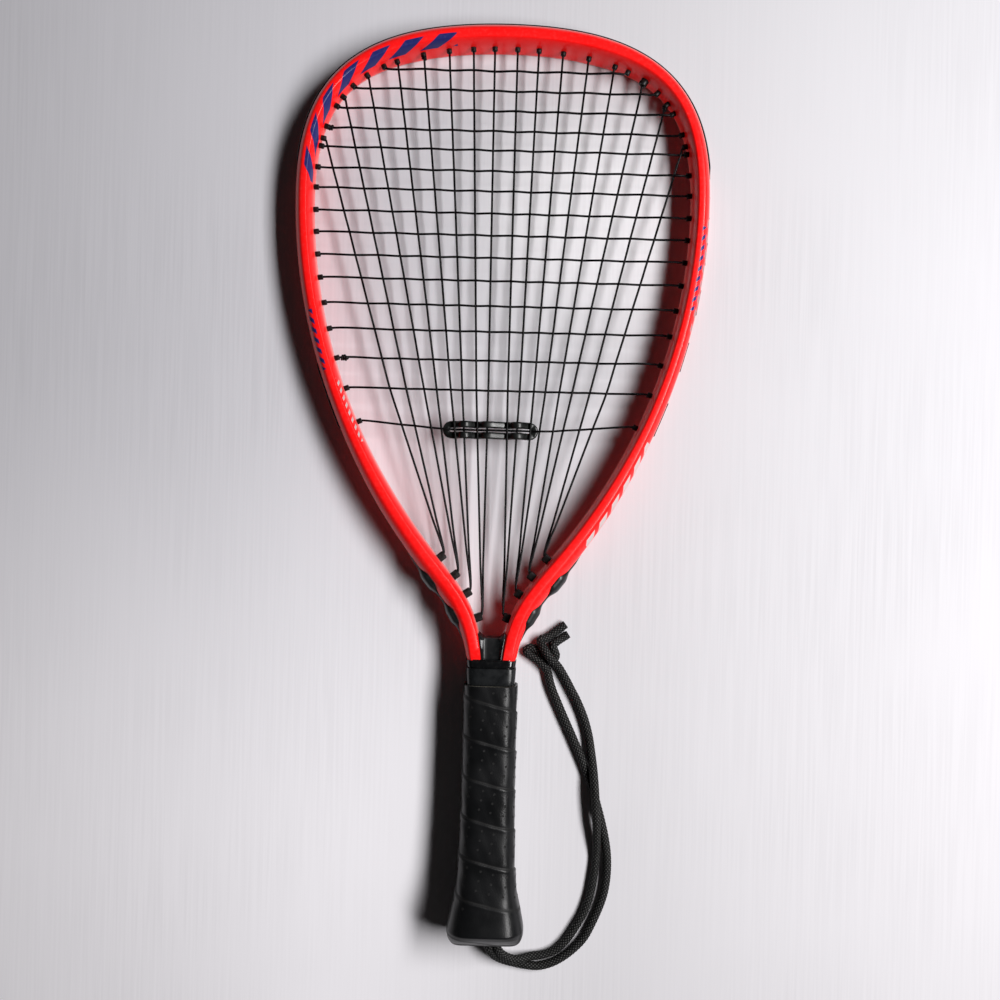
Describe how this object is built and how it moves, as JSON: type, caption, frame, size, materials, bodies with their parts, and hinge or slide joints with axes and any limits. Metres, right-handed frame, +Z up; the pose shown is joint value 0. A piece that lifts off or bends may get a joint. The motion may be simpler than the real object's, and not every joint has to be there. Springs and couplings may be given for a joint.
{
  "type": "racquetball racket",
  "caption": "Racquetball racket lying face up: teardrop tube frame with grommet strips, woven string bed, wrapped handle and wrist cord.",
  "frame": {"origin": "middle of the racket's outline, without its wrist cord, on the surface that it lies on", "axes": "+Y from the butt to the top of the head, +X to the right, +Z up from the surface, towards the front face"},
  "size_m": [0.2562, 0.5817, 0.0394],
  "materials": {
    "frame_paint": "gloss fluorescent red lacquer over a composite tube",
    "trim_plastic": "satin moulded black",
    "grommet_plastic": "semi-gloss moulded black nylon",
    "string": "smooth black synthetic gut",
    "soft_rubber": "smooth black rubber",
    "foam": "moulded foam",
    "cap_plastic": "matte moulded black",
    "staple_steel": "plain wire",
    "grip": "perforated black synthetic leather, satin",
    "tape": "glossy black vinyl",
    "cord": "braided black nylon"
  },
  "bodies": {
    "root": {"frame": "frame_paint", "throat_insert": "trim_plastic", "head_bumper": "grommet_plastic", "side_grommet_strip_left": "grommet_plastic", "side_grommet_strip_right": "grommet_plastic", "throat_bumper_left": "grommet_plastic", "throat_bumper_right": "grommet_plastic", "main_string": "string", "cross_string": "string", "vibration_dampener": "soft_rubber", "handle_core": "foam", "butt_cap": "cap_plastic", "cap_staple_front": "staple_steel", "cap_staple_back": "staple_steel", "grip_wrap": "grip", "grip_collar": "soft_rubber", "shaft_tape": "tape", "main_string_knot_right": "string", "main_string_knot_left": "string", "cross_string_knot_upper": "string", "cross_string_knot_lower": "string", "wrist_cord_outer_strand": "cord", "wrist_cord_inner_strand": "cord", "wrist_cord_knot": "cord"}
  },
  "joints": []
}
